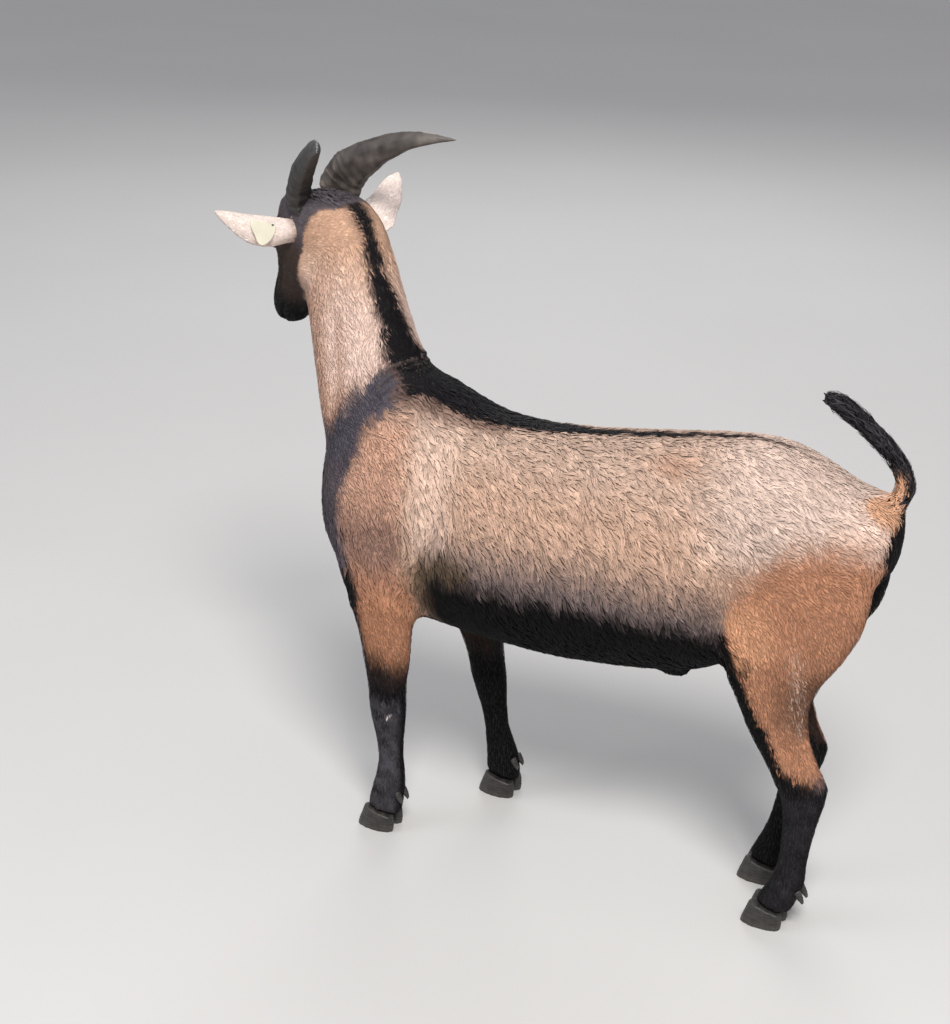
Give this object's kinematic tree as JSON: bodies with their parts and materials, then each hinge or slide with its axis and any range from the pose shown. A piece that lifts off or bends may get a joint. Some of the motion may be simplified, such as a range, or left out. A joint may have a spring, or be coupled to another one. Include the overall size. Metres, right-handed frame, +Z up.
{
  "type": "standing goat, still life-size model",
  "caption": "Life-size still model of a short-coated horned goat standing square, head raised and turned to its right, tail curled up, with a blank ear tag.",
  "frame": {"origin": "on the floor, under the middle of the object's box", "axes": "+X forward along the body, +Y to the goat's left, +Z up"},
  "size_m": [0.941, 0.3064, 0.9472],
  "materials": {
    "coat": "short flat tan hair with a paler upper barrel and rump, soft sheen",
    "dark_coat": "short flat black-brown hair with a grey sheen",
    "ear": "thin skin with very short pale hair",
    "horn": "ringed dark horn, satin",
    "hoof": "dark hoof horn, satin",
    "eye": "amber eye with a level dark pupil, wet gloss",
    "tag": "blank cream moulded plastic, satin"
  },
  "bodies": {
    "root": {"trunk": "coat", "neck": "coat", "head": "coat", "tail": "dark_coat", "ear_left": "ear", "ear_right": "ear", "horn_left": "horn", "horn_right": "horn", "eye_left": "eye", "eye_right": "eye", "ear_tag": "tag", "leg_front_left_upper": "coat", "leg_front_left_lower": "dark_coat", "claw_front_left_outer": "hoof", "dewclaw_front_left_outer": "hoof", "claw_front_left_inner": "hoof", "dewclaw_front_left_inner": "hoof", "leg_front_right_upper": "coat", "leg_front_right_lower": "dark_coat", "claw_front_right_outer": "hoof", "dewclaw_front_right_outer": "hoof", "claw_front_right_inner": "hoof", "dewclaw_front_right_inner": "hoof", "leg_hind_left_upper": "coat", "leg_hind_left_lower": "dark_coat", "claw_hind_left_outer": "hoof", "dewclaw_hind_left_outer": "hoof", "claw_hind_left_inner": "hoof", "dewclaw_hind_left_inner": "hoof", "leg_hind_right_upper": "coat", "leg_hind_right_lower": "dark_coat", "claw_hind_right_outer": "hoof", "dewclaw_hind_right_outer": "hoof", "claw_hind_right_inner": "hoof", "dewclaw_hind_right_inner": "hoof"}
  },
  "joints": []
}
